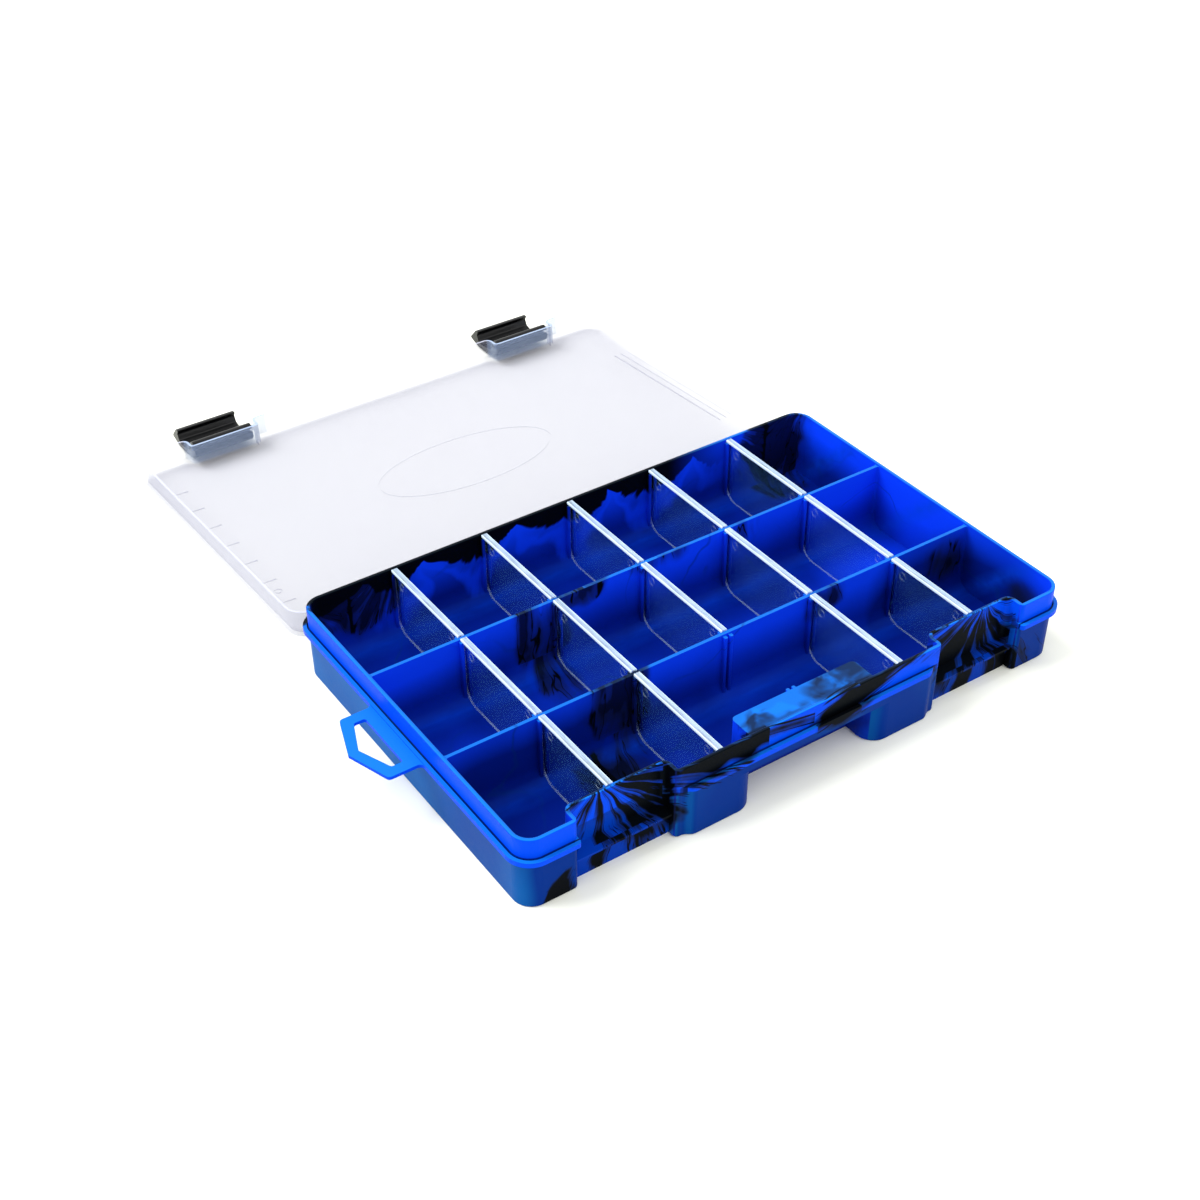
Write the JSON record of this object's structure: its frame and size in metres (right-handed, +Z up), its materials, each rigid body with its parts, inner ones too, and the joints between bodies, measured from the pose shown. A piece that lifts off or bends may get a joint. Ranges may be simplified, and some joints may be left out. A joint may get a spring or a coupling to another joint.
{
  "type": "fishing tackle box",
  "caption": "Flat compartment tray with removable dividers, a clear hinged lid that lies open behind it, two snap latches and a hanging loop.",
  "frame": {"origin": "centre of the tray's flat underside, on the surface that the box stands on", "axes": "+X along the box's length, towards the right-hand latch; +Y from the latches towards the hinge and the open lid; +Z up"},
  "size_m": [0.3834, 0.4881, 0.045],
  "materials": {
    "tray_plastic": "satin moulded plastic, blue with black swirls",
    "clear_plastic": "clear moulded plastic, slightly milky",
    "divider_plastic": "clear moulded plastic",
    "latch_plastic": "black moulded plastic, fine satin"
  },
  "bodies": {
    "tray": {"tray": "tray_plastic"},
    "lid": {"lid": "clear_plastic"},
    "latch_left": {"latch_left": "latch_plastic"},
    "latch_right": {"latch_right": "latch_plastic"},
    "divider_back_1": {"divider_back_1": "divider_plastic"},
    "divider_back_2": {"divider_back_2": "divider_plastic"},
    "divider_back_3": {"divider_back_3": "divider_plastic"},
    "divider_back_4": {"divider_back_4": "divider_plastic"},
    "divider_back_5": {"divider_back_5": "divider_plastic"},
    "divider_middle_1": {"divider_middle_1": "divider_plastic"},
    "divider_middle_2": {"divider_middle_2": "divider_plastic"},
    "divider_middle_3": {"divider_middle_3": "divider_plastic"},
    "divider_middle_4": {"divider_middle_4": "divider_plastic"},
    "divider_middle_5": {"divider_middle_5": "divider_plastic"},
    "divider_front_1": {"divider_front_1": "divider_plastic"},
    "divider_front_2": {"divider_front_2": "divider_plastic"},
    "divider_front_4": {"divider_front_4": "divider_plastic"},
    "divider_front_5": {"divider_front_5": "divider_plastic"}
  },
  "joints": [
    {"name": "lid_hinge", "type": "hinge", "parent": "tray", "child": "lid", "pos_m": [0, 0.1157, 0.0327], "axis": [-1, 0, 0], "range_deg": [-183.97, 0]},
    {"name": "latch_left_hinge", "type": "hinge", "parent": "lid", "child": "latch_left", "pos_m": [-0.1197, 0.33906, 0.01277], "axis": [-1, 0, 0], "range_deg": [-88, 0]},
    {"name": "latch_right_hinge", "type": "hinge", "parent": "lid", "child": "latch_right", "pos_m": [0.1103, 0.33906, 0.01277], "axis": [-1, 0, 0], "range_deg": [-88, 0]},
    {"name": "divider_back_1_slide", "type": "slide", "parent": "tray", "child": "divider_back_1", "axis": [0, 0, 1], "range_m": [0, 0.05]},
    {"name": "divider_back_2_slide", "type": "slide", "parent": "tray", "child": "divider_back_2", "axis": [0, 0, 1], "range_m": [0, 0.05]},
    {"name": "divider_back_3_slide", "type": "slide", "parent": "tray", "child": "divider_back_3", "axis": [0, 0, 1], "range_m": [0, 0.05]},
    {"name": "divider_back_4_slide", "type": "slide", "parent": "tray", "child": "divider_back_4", "axis": [0, 0, 1], "range_m": [0, 0.05]},
    {"name": "divider_back_5_slide", "type": "slide", "parent": "tray", "child": "divider_back_5", "axis": [0, 0, 1], "range_m": [0, 0.05]},
    {"name": "divider_middle_1_slide", "type": "slide", "parent": "tray", "child": "divider_middle_1", "axis": [0, 0, 1], "range_m": [0, 0.05]},
    {"name": "divider_middle_2_slide", "type": "slide", "parent": "tray", "child": "divider_middle_2", "axis": [0, 0, 1], "range_m": [0, 0.05]},
    {"name": "divider_middle_3_slide", "type": "slide", "parent": "tray", "child": "divider_middle_3", "axis": [0, 0, 1], "range_m": [0, 0.05]},
    {"name": "divider_middle_4_slide", "type": "slide", "parent": "tray", "child": "divider_middle_4", "axis": [0, 0, 1], "range_m": [0, 0.05]},
    {"name": "divider_middle_5_slide", "type": "slide", "parent": "tray", "child": "divider_middle_5", "axis": [0, 0, 1], "range_m": [0, 0.05]},
    {"name": "divider_front_1_slide", "type": "slide", "parent": "tray", "child": "divider_front_1", "axis": [0, 0, 1], "range_m": [0, 0.05]},
    {"name": "divider_front_2_slide", "type": "slide", "parent": "tray", "child": "divider_front_2", "axis": [0, 0, 1], "range_m": [0, 0.05]},
    {"name": "divider_front_4_slide", "type": "slide", "parent": "tray", "child": "divider_front_4", "axis": [0, 0, 1], "range_m": [0, 0.05]},
    {"name": "divider_front_5_slide", "type": "slide", "parent": "tray", "child": "divider_front_5", "axis": [0, 0, 1], "range_m": [0, 0.05]}
  ]
}
